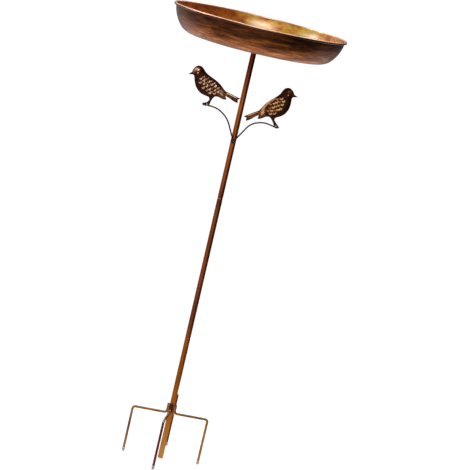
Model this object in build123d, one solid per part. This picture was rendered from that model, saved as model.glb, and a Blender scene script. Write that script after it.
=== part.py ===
from build123d import *
import os
from math import cos, radians, sin

# A shallow copper-finished dish on a thin three-piece stake, with two pressed birds
# on a forked wire branch and four bent prongs at the foot.
#
# Millimetres. +Z is up and the pole stands on the Z axis, with its cut end and the four
# prong tips on z = 0. The birds and the branch are on the front, towards -Y.

os.makedirs("parts", exist_ok=True)

# Pole: three tubes. The lower two are swaged at the top to plug into the tube above.
TUBE_R = 5.5
TUBE_WALL = 1.0
BORE_R = TUBE_R - TUBE_WALL
PLUG_CLEARANCE = 0.06
PLUG_R = BORE_R - PLUG_CLEARANCE
PLUG_LENGTH = 38.0
TAPER_HEIGHT = 2.6
EDGE_BREAK = 0.25
FIRST_JOINT_Z = 267.0
SECOND_JOINT_Z = 566.0
POLE_TOP_Z = 872.0

# Dish fixing, stacked on the pole's top end.
PLATE_R = 22.0
PLATE_T = 2.0
PLATE_WELD = 2.5
PAD_R = 20.0
PAD_T = 1.5
SEAL_R = 9.0
SEAL_T = 1.5
WASHER_R = 9.0
WASHER_T = 1.2
SCREW_R = 3.0
SCREW_LENGTH = 22.0
SCREW_POINT = 0.6
HEAD_R = 6.0
HEAD_H = 3.6
SLOT_W = 1.6
SLOT_DEPTH = 1.6
HOLE_R = 3.25
THREAD_HOLE_R = 3.06
INSERT_R = BORE_R - 0.02
INSERT_LENGTH = 24.0

# Dish: pressed sheet with a flat floor, a rounded wall and a curled rim.
DISH_R = 175.0
DISH_SHEET = 0.8
FLOOR_BEND_R = 31.6
FLOOR_BEND_DEG = 48.0
WALL_R = 69.6
WALL_TOP_DEG = 85.0
CURL_R = 2.1
CURL_SWEEP_DEG = 262.0

# Ground prongs: one Z-bent rod on each side of the pole, welded along its short tail.
PRONG_R = 2.5
PRONG_BEND_R = 6.0
PRONG_TIP_ROUND = 2.1
PRONG_REACH = 79.5
PRONGS = {
    # side: (azimuth in degrees, height of the arm, height of the tail's top end)
    "right": (7.0, 99.5, 118.0),
    "back": (85.5, 116.5, 134.0),
    "left": (187.0, 99.5, 120.0),
    "front": (263.0, 105.0, 122.0),
}

# Weld beads are runs of overlapping drops.
GROOVE_DROP_R = 1.45
GROOVE_PITCH = 1.9
GROOVE_R = TUBE_R + 0.9
GROOVE_DEG = 22.0
FORK_DROP_R = 1.75
TACK_R = 1.5

# Branch: one bent wire across the front of the pole, as (x, z) corners and their bends.
WIRE_R = 1.5
WIRE_Y = -(TUBE_R + WIRE_R)
FORK_Z = 684.5
BRANCH_ROUTE = [
    (-76.5, 743.2),
    (-48.5, 744.2),
    (-22.8, 729.0),
    (0.0, FORK_Z),
    (25.5, 727.0),
    (50.0, 736.6),
    (80.0, 730.6),
]
BRANCH_BENDS = [60.0, 60.0, 2.6, 34.0, 70.0]

# Birds: pressed sheet, drawn facing right with the heel at the origin.
BIRD_T = 1.6
BODY_MIDDLE = (9.0, 37.0)
BODY_DOME_R = 178.0
BODY_RISE = 2.2
HEAD_MIDDLE = (34.0, 60.0)
HEAD_DOME_R = 50.0
HEAD_RISE = 1.5
FEATHER_RISE = 0.5
WING_DEG = 28.0
EYE = (35.0, 57.5)
EYE_R = 2.4
LEFT_HEEL = (-64.2, 744.8)
RIGHT_HEEL = (73.2, 734.0)
RIGHT_BIRD_TILT_DEG = 20.0
FOOT_LENGTH = 13.8
LEFT_FOOT = (0.0, FOOT_LENGTH)
RIGHT_FOOT = (-38.0, 0.78 * FOOT_LENGTH)

PLATE_TOP_Z = POLE_TOP_Z + PLATE_T
DISH_UNDER_Z = PLATE_TOP_Z + PAD_T
DISH_FLOOR_Z = DISH_UNDER_Z + DISH_SHEET
SEAL_TOP_Z = DISH_FLOOR_Z + SEAL_T
SCREW_SEAT_Z = SEAL_TOP_Z + WASHER_T


def polar(radius, azimuth_deg, z):
    azimuth = radians(azimuth_deg)
    return Vector(radius * cos(azimuth), radius * sin(azimuth), z)


def turned(point, angle_deg):
    return Vector(*point).rotate(Axis.Z, angle_deg)


def revolved(points):
    """A round part from its half-section, given as (radius, z) corners."""
    section = make_face(Polyline(*points, close=True))
    return revolve(Plane.XZ * section, Axis.Z)


def ring(outer_r, inner_r, low_z, height):
    return revolved([
        (inner_r, low_z),
        (outer_r, low_z),
        (outer_r, low_z + height),
        (inner_r, low_z + height),
    ])


def drop_run(centres, drop_r, parents):
    """Weld metal laid against the pieces that it joins."""
    bead = Part() + [Pos(centre) * Sphere(drop_r) for centre in centres]
    for parent in parents:
        bead = bead - parent
    return bead


def round_rod(route, rod_r, seam_way):
    """A rod along a route. Its seam starts on the side of seam_way, away from any weld."""
    section = Plane(route @ 0, x_dir=seam_way, z_dir=route % 0) * Circle(rod_r)
    return sweep(section, path=route)


def tube_foot(low_z):
    """The section of a tube's cut lower end, from inside to outside."""
    return [
        (BORE_R, low_z + EDGE_BREAK),
        (BORE_R + EDGE_BREAK, low_z),
        (TUBE_R - EDGE_BREAK, low_z),
        (TUBE_R, low_z + EDGE_BREAK),
    ]


def plain_tube(low_z, high_z):
    return revolved(tube_foot(low_z) + [(TUBE_R, high_z), (BORE_R, high_z)])


def swaged_tube(low_z, joint_z):
    """A tube whose top is drawn down to plug into the tube that starts at joint_z."""
    taper_z = joint_z - TAPER_HEIGHT
    tip_z = joint_z + PLUG_LENGTH
    return revolved(tube_foot(low_z) + [
        (TUBE_R, taper_z),
        (PLUG_R, joint_z),
        (PLUG_R, tip_z - EDGE_BREAK),
        (PLUG_R - EDGE_BREAK, tip_z),
        (PLUG_R - TUBE_WALL, tip_z),
        (PLUG_R - TUBE_WALL, joint_z),
        (BORE_R, taper_z),
    ])


def dish_floor_radius():
    """The flat floor's radius that brings the curled rim out to DISH_R."""
    bend = FLOOR_BEND_R * sin(radians(FLOOR_BEND_DEG))
    wall = WALL_R * (sin(radians(WALL_TOP_DEG)) - sin(radians(FLOOR_BEND_DEG)))
    curl = CURL_R * sin(radians(WALL_TOP_DEG)) + CURL_R + DISH_SHEET / 2
    return DISH_R - bend - wall - curl


def dish_line(offset):
    """The dish's section line at an offset from mid-sheet, + being the inner face."""
    floor_r = dish_floor_radius()
    floor_z = DISH_UNDER_Z + DISH_SHEET / 2
    bend_centre = Vector(floor_r, floor_z + FLOOR_BEND_R)
    out_at_bend = Vector(sin(radians(FLOOR_BEND_DEG)), -cos(radians(FLOOR_BEND_DEG)))
    out_at_rim = Vector(sin(radians(WALL_TOP_DEG)), -cos(radians(WALL_TOP_DEG)))
    wall_centre = bend_centre - out_at_bend * (WALL_R - FLOOR_BEND_R)
    curl_centre = wall_centre + out_at_rim * (WALL_R + CURL_R)
    return [
        Line((HOLE_R, floor_z + offset), (floor_r, floor_z + offset)),
        CenterArc(bend_centre, FLOOR_BEND_R - offset, -90, FLOOR_BEND_DEG),
        CenterArc(wall_centre, WALL_R - offset, FLOOR_BEND_DEG - 90, WALL_TOP_DEG - FLOOR_BEND_DEG),
        CenterArc(curl_centre, CURL_R + offset, WALL_TOP_DEG + 90, -CURL_SWEEP_DEG),
    ]


def make_dish():
    inner = dish_line(DISH_SHEET / 2)
    outer = dish_line(-DISH_SHEET / 2)
    hole_edge = Line(inner[0] @ 0, outer[0] @ 0)
    curl_edge = Line(inner[-1] @ 1, outer[-1] @ 1)
    section = make_face(Curve() + inner + outer + [hole_edge, curl_edge])
    return revolve(Plane.XZ * section, Axis.Z)


def make_screw():
    """Slotted pan-head screw, its head down on the washer."""
    point_z = SCREW_SEAT_Z - SCREW_LENGTH
    head_z = SCREW_SEAT_Z + HEAD_H
    screw = revolved([
        (0, point_z),
        (SCREW_R - SCREW_POINT, point_z),
        (SCREW_R, point_z + SCREW_POINT),
        (SCREW_R, SCREW_SEAT_Z),
        (HEAD_R, SCREW_SEAT_Z),
        (HEAD_R, SCREW_SEAT_Z + 0.5 * HEAD_H),
        (0.9 * HEAD_R, SCREW_SEAT_Z + 0.8 * HEAD_H),
        (0.65 * HEAD_R, head_z),
        (0, head_z),
    ])
    return screw - Pos(0, 0, head_z) * Box(3 * HEAD_R, SLOT_W, 2 * SLOT_DEPTH)


def make_prong(azimuth, arm_z, tail_z):
    root_r = TUBE_R + PRONG_R
    route = FilletPolyline(
        polar(root_r, azimuth, tail_z),
        polar(root_r, azimuth, arm_z),
        polar(PRONG_REACH, azimuth, arm_z),
        polar(PRONG_REACH, azimuth, 0),
        radius=PRONG_BEND_R,
    )
    rod = round_rod(route, PRONG_R, polar(1, azimuth, 0))
    return fillet(rod.edges().group_by(Axis.Z)[0], PRONG_TIP_ROUND)


def make_prong_weld(azimuth, arm_z, tail_z, parents):
    """A bead in the groove on each side of a prong's tail."""
    count = int((tail_z - arm_z) / GROOVE_PITCH) + 1
    beads = Part()
    for side in (-1, 1):
        drops = []
        for step in range(count):
            around = azimuth + side * (GROOVE_DEG + 3 * (step % 2))
            drops.append(polar(GROOVE_R, around, arm_z - 1 + GROOVE_PITCH * step))
        beads = beads + drop_run(drops, GROOVE_DROP_R, parents)
    return beads


def make_branch():
    corners = [(x, WIRE_Y, z) for x, z in BRANCH_ROUTE]
    return round_rod(FilletPolyline(*corners, radius=BRANCH_BENDS), WIRE_R, (0, -1, 0))


def make_branch_weld(parents):
    """A knot of weld metal under and beside the branch's fork."""
    drops = [
        (-4.2, -5.0, FORK_Z + 2.5),
        (-3.4, -5.4, FORK_Z - 0.2),
        (-1.6, -6.2, FORK_Z - 2.2),
        (0.6, -6.4, FORK_Z - 2.9),
        (2.6, -5.8, FORK_Z - 1.4),
        (3.8, -5.2, FORK_Z + 1.4),
    ]
    return drop_run(drops, FORK_DROP_R, parents)


def bird_outline():
    beak = Polyline((43.0, 52.5), (53.0, 51.0), (46.0, 57.5))
    back = Spline((46.0, 57.5), (44.0, 66.0), (36.0, 72.3), (26.5, 69.8), (17.0, 60.8), (-1.0, 52.4),
                  (-15.0, 44.6), (-27.0, 34.0))
    tail = Polyline((-27.0, 34.0), (-44.0, 30.4), (-59.0, 26.6), (-54.0, 23.4), (-55.8, 16.8),
                    (-45.0, 19.2), (-29.0, 24.8), (-32.3, 18.6), (-27.0, 17.4))
    belly = Spline((-27.0, 17.4), (-12.0, 20.2), (-4.5, 15.0), (9.0, 16.6), (24.0, 21.5), (34.0, 31.5),
                   (39.0, 43.5), (43.0, 52.5))
    return make_face(Curve() + [beak, back, tail, belly])


def bird_leg(foot_deg, foot_length):
    """The leg, and a foot that runs forward from the heel at foot_deg."""
    shank = Polyline((-7.0, 18.0), (-2.6, 8.5), (-1.4, 0.0), (2.0, 0.0), (2.4, 8.0), (1.5, 18.0), close=True)
    toe = foot_length
    sole = [(-1.4, -0.2), (toe, 0.0), (toe, 0.9), (0.7 * toe, 2.8), (0.36 * toe, 4.4), (0.0, 5.0)]
    foot = Polyline(*[turned(point, foot_deg) for point in sole], close=True)
    return make_face(shank) + make_face(foot)


def wing_feathers():
    """Rows of short feathers over the shoulder, then long ones towards the tail."""
    feathers = Sketch()
    for row, reach in enumerate((15.0, 8.0, 1.0)):
        for step in range(4):
            across = 9.0 - 5.4 * step - 1.0 * row
            feathers += Pos(reach - 1.2 * step, across) * Ellipse(3.6, 2.3)
    for step in range(4):
        feathers += Pos(-14.0 + 1.5 * step, 3.5 - 4.2 * step) * SlotOverall(20.0, 3.2)
    return Pos(*BODY_MIDDLE) * Rot(0, 0, WING_DEG) * feathers


def tail_feathers():
    upper = Pos(-42.0, 28.0) * Rot(0, 0, 12.0) * SlotOverall(26.0, 3.0)
    lower = Pos(-43.0, 23.0) * Rot(0, 0, 17.0) * SlotOverall(22.0, 2.6)
    return upper + lower


def domed(face, middle, dome_r, rise):
    """The face raised to a shallow dome, rise above the plate's front at its middle."""
    plate = extrude(Plane.XZ * face, BIRD_T / 2 + 2 * rise)
    dome = Pos(middle[0], dome_r - BIRD_T / 2 - rise, middle[1]) * Sphere(dome_r)
    return plate & dome


def make_bird(foot_deg, foot_length):
    """A pressed bird facing +X, its heel at the origin and its front towards -Y."""
    outline = bird_outline()
    plate = extrude(Plane.XZ * (outline + bird_leg(foot_deg, foot_length)), BIRD_T / 2, both=True)
    eye = Pos(*EYE) * Circle(EYE_R)
    body = domed(outline, BODY_MIDDLE, BODY_DOME_R, BODY_RISE)
    head = domed(outline, HEAD_MIDDLE, HEAD_DOME_R, HEAD_RISE)
    wing = domed(wing_feathers(), BODY_MIDDLE, BODY_DOME_R, BODY_RISE + FEATHER_RISE)
    eyeball = domed(eye, HEAD_MIDDLE, HEAD_DOME_R, HEAD_RISE + FEATHER_RISE)
    tail = extrude(Plane.XZ * tail_feathers(), BIRD_T / 2 + FEATHER_RISE)
    return plate + body + head + wing + eyeball + tail


def make_tack(heel, forward, parents):
    """Three drops that fix a foot to the branch, forward being +1 or -1 along X."""
    drops = [
        (heel[0] + forward * 1.5, WIRE_Y - 1.2, heel[1] - 0.4),
        (heel[0] + forward * 3.4, WIRE_Y - 1.3, heel[1] + 0.2),
        (heel[0] + forward * 3.2, WIRE_Y - 0.9, heel[1] + 2.2),
    ]
    return drop_run(drops, TACK_R, parents)


def make_parts():
    parts = {
        "pole_bottom": swaged_tube(0, FIRST_JOINT_Z),
        "pole_middle": swaged_tube(FIRST_JOINT_Z, SECOND_JOINT_Z),
        "pole_top": plain_tube(SECOND_JOINT_Z, POLE_TOP_Z),
        "threaded_insert": ring(INSERT_R, THREAD_HOLE_R, POLE_TOP_Z - INSERT_LENGTH, INSERT_LENGTH),
        "support_plate": ring(PLATE_R, HOLE_R, POLE_TOP_Z, PLATE_T),
        "plate_weld": revolved([
            (TUBE_R, POLE_TOP_Z),
            (TUBE_R, POLE_TOP_Z - PLATE_WELD),
            (TUBE_R + PLATE_WELD, POLE_TOP_Z),
        ]),
        "rubber_pad": ring(PAD_R, HOLE_R, PLATE_TOP_Z, PAD_T),
        "dish": make_dish(),
        "rubber_seal": ring(SEAL_R, HOLE_R, DISH_FLOOR_Z, SEAL_T),
        "washer": ring(WASHER_R, HOLE_R, SEAL_TOP_Z, WASHER_T),
        "dish_screw": make_screw(),
        "branch_wire": make_branch(),
    }
    for side, placing in PRONGS.items():
        prong = make_prong(*placing)
        parts[f"prong_{side}"] = prong
        parts[f"prong_weld_{side}"] = make_prong_weld(*placing, [prong, parts["pole_bottom"]])
    parts["branch_weld"] = make_branch_weld([parts["branch_wire"], parts["pole_top"]])

    left_place = Pos(LEFT_HEEL[0], WIRE_Y, LEFT_HEEL[1])
    right_place = Pos(RIGHT_HEEL[0], WIRE_Y, RIGHT_HEEL[1]) * Rot(0, -RIGHT_BIRD_TILT_DEG, 0)
    wire = parts["branch_wire"]
    parts["bird_left"] = left_place * mirror(make_bird(*LEFT_FOOT), Plane.YZ) - wire
    parts["bird_right"] = right_place * make_bird(*RIGHT_FOOT) - wire
    parts["bird_tack_left"] = make_tack(LEFT_HEEL, -1, [wire, parts["bird_left"]])
    parts["bird_tack_right"] = make_tack(RIGHT_HEEL, 1, [wire, parts["bird_right"]])
    return parts


for name, shape in make_parts().items():
    export_step(shape, f"parts/{name}.step")
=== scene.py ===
"""The looks of a copper-finished dish on a stake, with two pressed birds on a wire branch.

Row frame: metres, +Z up, the pole on the Z axis, its foot on z = 0, the birds towards -Y.
Shapes are written in millimetres, and closed_object() turns them into metres.
"""

import math

import bmesh
import bpy
import numpy as np
from mathutils import Matrix, Vector, noise
from mathutils.geometry import delaunay_2d_cdt


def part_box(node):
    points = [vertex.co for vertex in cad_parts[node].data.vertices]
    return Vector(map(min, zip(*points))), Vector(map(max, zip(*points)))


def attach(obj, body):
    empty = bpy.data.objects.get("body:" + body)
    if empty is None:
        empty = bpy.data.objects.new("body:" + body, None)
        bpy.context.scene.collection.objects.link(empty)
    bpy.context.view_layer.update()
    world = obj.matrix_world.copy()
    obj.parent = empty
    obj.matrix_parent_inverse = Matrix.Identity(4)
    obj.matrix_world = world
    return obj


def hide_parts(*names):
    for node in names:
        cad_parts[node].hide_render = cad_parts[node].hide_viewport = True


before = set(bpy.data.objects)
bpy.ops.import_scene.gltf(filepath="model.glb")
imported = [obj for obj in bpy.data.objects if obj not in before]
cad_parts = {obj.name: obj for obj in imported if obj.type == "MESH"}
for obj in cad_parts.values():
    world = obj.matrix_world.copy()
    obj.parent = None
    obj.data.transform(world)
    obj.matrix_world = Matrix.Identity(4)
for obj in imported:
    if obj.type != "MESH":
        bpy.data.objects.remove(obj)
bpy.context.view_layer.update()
MM = 0.001


# ---------------------------------------------------------------- camera, lights, world

CAMERA_AT = Vector((0.0, -3.108, 1.1415))
CAMERA_PITCH = math.radians(11.695)
CAMERA_YAW = math.radians(0.851)
CAMERA_ROLL = math.radians(13.198)
LENS = 119.94
COOL_WHITE = (0.82, 0.84, 1.0)


def added(name, data):
    """A new object in the scene."""
    made = bpy.data.objects.new(name, data)
    bpy.context.scene.collection.objects.link(made)
    return made


def make_camera():
    forward = Vector((
        math.sin(CAMERA_YAW) * math.cos(CAMERA_PITCH),
        math.cos(CAMERA_YAW) * math.cos(CAMERA_PITCH),
        -math.sin(CAMERA_PITCH),
    ))
    level_right = Vector((math.cos(CAMERA_YAW), -math.sin(CAMERA_YAW), 0.0))
    level_up = level_right.cross(forward)
    right = math.cos(CAMERA_ROLL) * level_right + math.sin(CAMERA_ROLL) * level_up
    up = math.cos(CAMERA_ROLL) * level_up - math.sin(CAMERA_ROLL) * level_right
    turn = Matrix((right, up, -forward)).transposed()
    data = bpy.data.cameras.new("camera")
    data.lens = LENS
    data.sensor_width = 36.0
    data.clip_start = 0.05
    data.clip_end = 100.0
    camera = added("camera", data)
    camera.matrix_world = Matrix.Translation(CAMERA_AT) @ turn.to_4x4()
    bpy.context.scene.camera = camera


def soft_light(name, azimuth_deg, elevation_deg, distance, size, power, colour=(1, 1, 1)):
    """An area light that faces the dish. Azimuth 0 is the camera's side, and 90 its right."""
    aim = Vector((0.0, 0.0, 0.75))
    azimuth, elevation = math.radians(azimuth_deg), math.radians(elevation_deg)
    away = Vector((
        math.sin(azimuth) * math.cos(elevation),
        -math.cos(azimuth) * math.cos(elevation),
        math.sin(elevation),
    ))
    data = bpy.data.lights.new(name, "AREA")
    data.shape = "RECTANGLE"
    data.size, data.size_y = size
    data.energy = power
    data.color = colour
    light = added(name, data)
    light.location = aim + away * distance
    light.rotation_euler = (-away).to_track_quat("-Z", "Y").to_euler()


STUDIO_PEAK = 1.2
STUDIO_LAYERS = [
    # Brightness of each layer along each axis, as stops from -1 at 0 to +1 at 1. A layer is the
    # product of its axes, and the layers add up.
    {
        "X": [(0.0, 0.35), (0.25, 0.55), (0.44, 0.95), (0.56, 0.75), (0.74, 0.10), (1.0, 0.10)],
        "Y": [(0.0, 1.0), (0.35, 0.8), (0.55, 0.12), (0.8, 0.06), (1.0, 0.06)],
        "Z": [(0.0, 0.5), (0.3, 0.62), (0.42, 0.8), (0.55, 1.0), (0.68, 0.85), (0.82, 0.35),
              (1.0, 0.3)],
    },
    {
        "Y": [(0.0, 0.0), (0.5, 0.1), (0.7, 0.9), (1.0, 1.0)],
        "Z": [(0.0, 0.9), (0.24, 1.0), (0.34, 0.05), (0.56, 0.05), (0.75, 0.6), (1.0, 0.5)],
    },
    {
        "X": [(0.0, 1.0), (0.2, 0.8), (0.42, 0.15), (0.5, 0.0), (1.0, 0.0)],
        "Y": [(0.0, 0.0), (0.4, 0.3), (0.6, 0.8), (0.9, 0.7), (1.0, 0.2)],
        "Z": [(0.0, 0.3), (0.4, 0.7), (0.5, 0.9), (0.7, 0.8), (1.0, 0.2)],
    },
]


def make_world():
    """A white room for the camera, and a studio with dark sides for what reflects it."""
    world = bpy.data.worlds.new("studio")
    world.use_nodes = True
    tree = world.node_tree
    tree.nodes.clear()
    bpy.context.scene.world = world
    new = tree.nodes.new
    link = tree.links.new
    coord = new("ShaderNodeTexCoord")
    axes = new("ShaderNodeSeparateXYZ")
    link(coord.outputs["Generated"], axes.inputs[0])
    total = None
    for layer in STUDIO_LAYERS:
        product = None
        for axis, stops in layer.items():
            spread = new("ShaderNodeMapRange")
            spread.inputs["From Min"].default_value = -1.0
            link(axes.outputs[axis], spread.inputs["Value"])
            ramp = new("ShaderNodeValToRGB")
            set_stops(ramp, [(place, (level / STUDIO_PEAK,) * 3) for place, level in stops])
            link(spread.outputs["Result"], ramp.inputs["Fac"])
            product = joined(tree, "MULTIPLY", product, ramp.outputs["Color"])
        total = joined(tree, "ADD", total, product)
    studio = new("ShaderNodeBackground")
    link(total, studio.inputs["Color"])
    studio.inputs["Strength"].default_value = 1.4
    white = new("ShaderNodeBackground")
    white.inputs["Color"].default_value = (1, 1, 1, 1)
    white.inputs["Strength"].default_value = 1.05
    path = new("ShaderNodeLightPath")
    mix = new("ShaderNodeMixShader")
    link(path.outputs["Is Camera Ray"], mix.inputs["Fac"])
    link(studio.outputs[0], mix.inputs[1])
    link(white.outputs[0], mix.inputs[2])
    output = new("ShaderNodeOutputWorld")
    link(mix.outputs[0], output.inputs["Surface"])


def joined(tree, operation, first, second):
    """Adds or multiplies two colours. With no first one, the second is the result."""
    if first is None:
        return second
    made = tree.nodes.new("ShaderNodeVectorMath")
    made.operation = operation
    tree.links.new(first, made.inputs[0])
    tree.links.new(second, made.inputs[1])
    return made.outputs["Vector"]


def set_stops(ramp, stops):
    elements = ramp.color_ramp.elements
    while len(elements) > 1:
        elements.remove(elements[-1])
    for index, (place, colour) in enumerate(stops):
        element = elements[0] if index == 0 else elements.new(place)
        element.position = place
        element.color = (*colour, 1.0)


# ---------------------------------------------------------------- materials


class Finish:
    """A Principled material and short ways to add its nodes."""

    def __init__(self, name, **constants):
        self.material = bpy.data.materials.new(name)
        self.material.use_nodes = True
        self.tree = self.material.node_tree
        self.tree.nodes.clear()
        inputs = {key.replace("_", " "): value for key, value in constants.items()}
        self.shader = self.node("BsdfPrincipled", inputs)
        output = self.node("OutputMaterial")
        self.tree.links.new(self.shader.outputs[0], output.inputs["Surface"])
        self.coord = self.node("TexCoord").outputs["Object"]

    def node(self, kind, inputs=None, **settings):
        made = self.tree.nodes.new("ShaderNode" + kind)
        for key, value in settings.items():
            setattr(made, key, value)
        for key, value in (inputs or {}).items():
            if isinstance(value, bpy.types.NodeSocket):
                self.tree.links.new(value, made.inputs[key])
            else:
                made.inputs[key].default_value = value
        return made

    def drive(self, name, value):
        self.tree.links.new(value, self.shader.inputs[name])

    def math(self, operation, first, second=0.0):
        return self.node("Math", {0: first, 1: second}, operation=operation).outputs[0]

    def scaled(self, scale):
        return self.node("Mapping", {"Vector": self.coord, "Scale": scale}).outputs[0]

    def noise(self, vector, scale=1.0, detail=4.0, rough=0.55):
        inputs = {"Vector": vector, "Scale": scale, "Detail": detail, "Roughness": rough}
        return self.node("TexNoise", inputs).outputs[0]

    def ramp(self, value, stops):
        made = self.node("ValToRGB", {"Fac": value})
        set_stops(made, stops)
        return made.outputs[0]

    def spread(self, value, low, high, to_low=0.0, to_high=1.0, kind="SMOOTHSTEP"):
        """Takes the range from low to high to another one, and holds its ends."""
        inputs = {"Value": value, "From Min": low, "From Max": high,
                  "To Min": to_low, "To Max": to_high}
        return self.node("MapRange", inputs, interpolation_type=kind).outputs["Result"]

    def mix(self, factor, first, second, blend="MIX"):
        inputs = {0: factor}
        for socket, colour in ((6, first), (7, second)):
            inputs[socket] = (*colour, 1.0) if isinstance(colour, tuple) else colour
        return self.node("Mix", inputs, data_type="RGBA", blend_type=blend).outputs[2]

    def axes(self, vector=None):
        made = self.node("SeparateXYZ", {0: vector or self.coord})
        return made.outputs[0], made.outputs[1], made.outputs[2]

    def completed(self, colour, roughness, height, strength, distance):
        """The material, with its colour, its roughness and the bumps of its height."""
        self.drive("Base Color", colour)
        self.drive("Roughness", roughness)
        bump = self.node("Bump", {"Height": height, "Strength": strength, "Distance": distance})
        self.drive("Normal", bump.outputs[0])
        return self.material


def brushed(finish, count, scale, detail, rough=0.6):
    """Noise drawn out round the dish. It is finer across than along by the count."""
    x, y, z = finish.axes()
    flat = finish.math("ADD", finish.math("MULTIPLY", x, x), finish.math("MULTIPLY", y, y))
    across = finish.math("ADD", finish.math("SQRT", flat), z)
    across = finish.math("MULTIPLY", across, count)
    place = finish.node("CombineXYZ", {0: x, 1: y, 2: across}).outputs[0]
    return finish.noise(place, scale=scale, detail=detail, rough=rough)


def dish_outside():
    """Antiqued brown copper, brushed round the dish, with a painted reflection of the floor making
    it warmer low on the wall, and painted shade under the curled rim.
    """
    finish = Finish("dish_brown_finish", Metallic=1.0, Coat_Weight=0.18, Coat_Roughness=0.25,
                    Sheen_Weight=0.35, Sheen_Roughness=0.25, Sheen_Tint=(0.75, 0.73, 0.85, 1.0))
    z = finish.axes()[2]
    streaks = brushed(finish, 6.0, 20.0, 8.0, 0.74)
    fine = brushed(finish, 400.0, 14.0, 3.0)
    blotches = finish.noise(finish.scaled((1.0, 1.0, 3.0)), scale=16.0, detail=6.0, rough=0.66)
    brown = finish.ramp(streaks, [
        (0.36, (0.050, 0.013, 0.004)),
        (0.46, (0.15, 0.038, 0.009)),
        (0.53, (0.29, 0.078, 0.014)),
        (0.62, (0.52, 0.170, 0.032)),
    ])
    warm = finish.ramp(streaks, [
        (0.36, (0.12, 0.033, 0.009)),
        (0.46, (0.28, 0.080, 0.022)),
        (0.54, (0.48, 0.160, 0.045)),
        (0.63, (0.80, 0.350, 0.140)),
    ])
    height = finish.math("ADD", z, finish.spread(blotches, 0.3, 0.7, 0.010, -0.010, "LINEAR"))
    # painted reflection of the floor: the lower wall takes the warmer, lighter colours
    colour = finish.mix(finish.spread(height, 0.905, 0.880), brown, warm)
    # painted shade: the band just under the curled rim is darkened
    rim_painted_shade = finish.spread(height, 0.900, 0.925, 0.0, 0.6)
    colour = finish.mix(rim_painted_shade, colour, (0.055, 0.016, 0.006))
    stained = finish.spread(blotches, 0.52, 0.66, 0.0, 0.75)
    colour = finish.mix(stained, colour, (0.040, 0.016, 0.007))
    roughness = finish.spread(streaks, 0.3, 0.75, 0.34, 0.5)
    return finish.completed(colour, roughness, fine, 0.12, 0.0003)


def dish_inside():
    """Golden copper under a clear coat, redder towards one end."""
    finish = Finish("dish_gold_finish", Metallic=1.0,
                    Coat_Weight=0.65, Coat_Roughness=0.24, Coat_IOR=2.0)
    x = finish.axes()[0]
    streaks = brushed(finish, 6.0, 15.0, 7.0, 0.7)
    fine = brushed(finish, 400.0, 14.0, 3.0)
    blotches = finish.noise(finish.scaled((1.0, 1.0, 1.6)), scale=26.0, detail=6.0, rough=0.68)
    gold = finish.ramp(blotches, [
        (0.39, (0.42, 0.11, 0.002)),
        (0.46, (0.62, 0.26, 0.003)),
        (0.53, (0.72, 0.42, 0.008)),
        (0.60, (0.60, 0.48, 0.14)),
    ])
    orange = finish.ramp(blotches, [
        (0.40, (0.42, 0.055, 0.002)),
        (0.49, (0.78, 0.135, 0.002)),
        (0.58, (1.0, 0.27, 0.002)),
    ])
    red = finish.spread(x, 0.0, -0.11)
    warm_end = finish.spread(x, 0.11, 0.17, 0.0, 0.45)
    colour = finish.mix(finish.math("MAXIMUM", red, warm_end), gold, orange)
    streaked = finish.spread(streaks, 0.46, 0.66, 0.0, 0.6)
    colour = finish.mix(streaked, colour, (0.26, 0.075, 0.005))
    roughness = finish.spread(streaks, 0.3, 0.75, 0.5, 0.66)
    return finish.completed(colour, roughness, fine, 0.12, 0.0003)


def dish_rim():
    """Bright rubbed copper on the curled edge."""
    finish = Finish("dish_rim_finish", Metallic=1.0)
    fine = finish.noise(finish.coord, scale=240.0, detail=4.0, rough=0.6)
    worn = finish.noise(finish.coord, scale=24.0, detail=4.0)
    bright = finish.mix(finish.spread(fine, 0.3, 0.7), (0.92, 0.48, 0.28), (1.0, 0.66, 0.46))
    dulled = finish.spread(worn, 0.62, 0.75, 0.0, 0.5)
    colour = finish.mix(dulled, bright, (0.55, 0.22, 0.10))
    return finish.completed(colour, finish.spread(worn, 0.3, 0.7, 0.26, 0.42), fine, 0.04, 0.0002)


POLE_COLOURS_AND_DISH_SHADOW = [
    # height in metres and colour, from the foot to the dish; the dark colours at the top are a
    # painted shadow of the dish
    (0.0, (0.46, 0.23, 0.055)),
    (0.05, (0.46, 0.19, 0.030)),
    (0.10, (0.44, 0.14, 0.016)),
    (0.20, (0.46, 0.125, 0.012)),
    (0.262, (0.52, 0.135, 0.012)),
    (0.275, (0.42, 0.10, 0.028)),
    (0.36, (0.36, 0.095, 0.036)),
    (0.44, (0.52, 0.13, 0.034)),
    (0.54, (0.44, 0.11, 0.038)),
    (0.56, (0.24, 0.07, 0.034)),
    (0.59, (0.52, 0.12, 0.028)),
    (0.66, (0.62, 0.165, 0.032)),
    (0.75, (0.84, 0.23, 0.036)),
    (0.80, (0.52, 0.125, 0.026)),
    # painted shadow of the dish: the pole darkens just under it
    (0.835, (0.26, 0.050, 0.022)),
    (0.872, (0.24, 0.040, 0.020)),
]


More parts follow.
